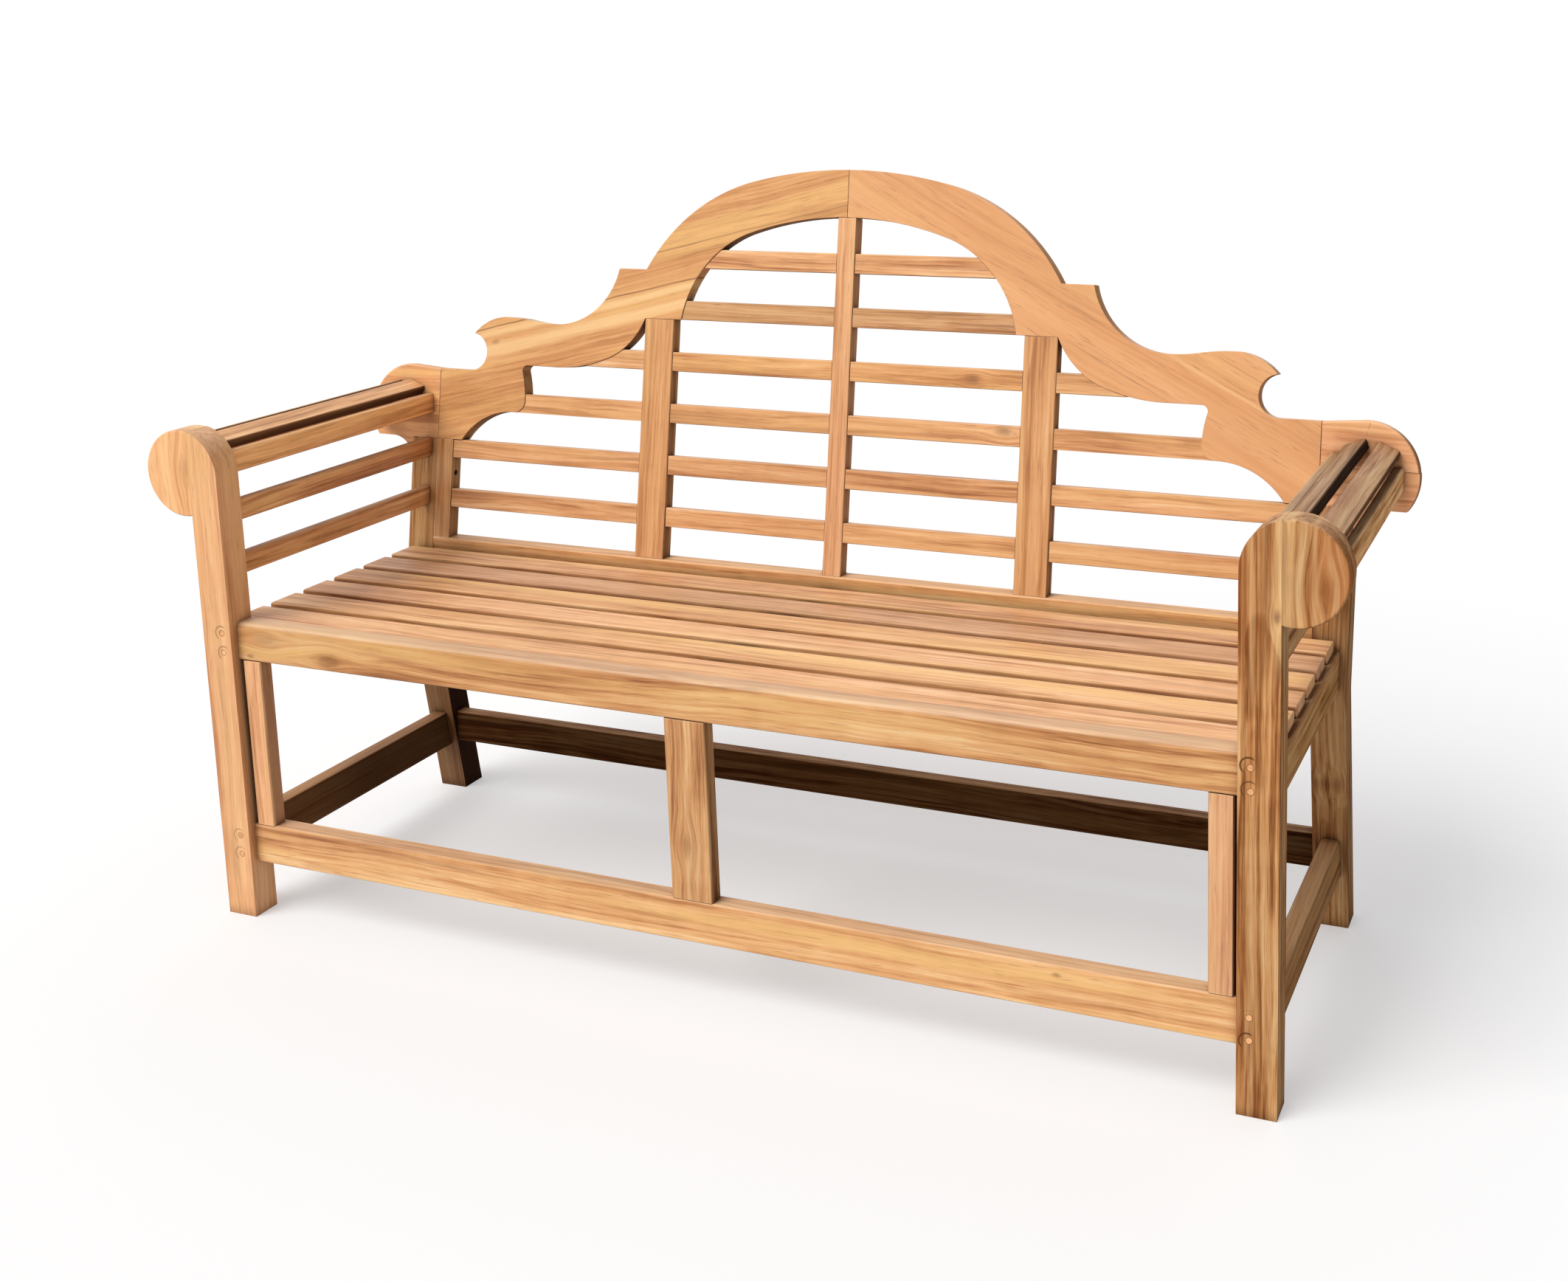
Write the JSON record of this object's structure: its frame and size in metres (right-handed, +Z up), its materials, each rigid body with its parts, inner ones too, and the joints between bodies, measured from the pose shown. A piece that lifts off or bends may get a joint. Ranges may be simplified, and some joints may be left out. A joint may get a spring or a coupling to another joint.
{
  "type": "garden bench",
  "caption": "Teak garden bench with rolled slatted arms, an arched and scrolled crest rail over a slatted back, and a slatted seat on pegged legs joined by stretchers.",
  "frame": {"origin": "on the floor, under the middle of the whole bench's box", "axes": "+X along the bench to the sitter's left, which is the viewer's right; +Y from front to back; +Z up"},
  "size_m": [1.691, 0.5548, 1.0349],
  "materials": {
    "teak": "sanded, oiled, satin",
    "peg_end_grain": "sanded end grain",
    "screw_steel": "satin"
  },
  "bodies": {
    "root": {"arm_slat_inner_left": "teak", "arm_slat_inner_right": "teak", "arm_slat_low_left": "teak", "arm_slat_low_right": "teak", "arm_slat_middle_left": "teak", "arm_slat_middle_right": "teak", "arm_slat_outer_left": "teak", "arm_slat_outer_right": "teak", "arm_slat_shoulder_left": "teak", "arm_slat_shoulder_right": "teak", "arm_slat_top_left": "teak", "arm_slat_top_right": "teak", "back_panel_screws": "screw_steel", "back_slat_centre_1": "teak", "back_slat_centre_2": "teak", "back_slat_centre_3": "teak", "back_slat_centre_4": "teak", "back_slat_centre_5": "teak", "back_slat_centre_6": "teak", "back_slat_end_1": "teak", "back_slat_end_2": "teak", "back_slat_end_3": "teak", "back_slat_end_4": "teak", "crest_rail_left": "teak", "crest_rail_right": "teak", "end_stile_left": "teak", "end_stile_right": "teak", "front_leg_left": "teak", "front_leg_right": "teak", "front_scroll_block_left": "teak", "front_scroll_block_right": "teak", "front_seat_rail": "teak", "front_stretcher": "teak", "front_upright_centre": "teak", "front_upright_left": "teak", "front_upright_right": "teak", "leg_pegs": "peg_end_grain", "middle_stile": "teak", "rear_leg_left": "teak", "rear_leg_right": "teak", "rear_scroll_lower_left": "teak", "rear_scroll_lower_right": "teak", "rear_scroll_upper_left": "teak", "rear_scroll_upper_right": "teak", "rear_seat_rail": "teak", "rear_stretcher": "teak", "seat_bearer": "teak", "seat_slat_1": "teak", "seat_slat_2": "teak", "seat_slat_3": "teak", "seat_slat_4": "teak", "seat_slat_5": "teak", "seat_slat_6": "teak", "side_seat_rail_left": "teak", "side_seat_rail_right": "teak", "side_stretcher_left": "teak", "side_stretcher_right": "teak", "wide_stile_left": "teak", "wide_stile_right": "teak"}
  },
  "joints": []
}
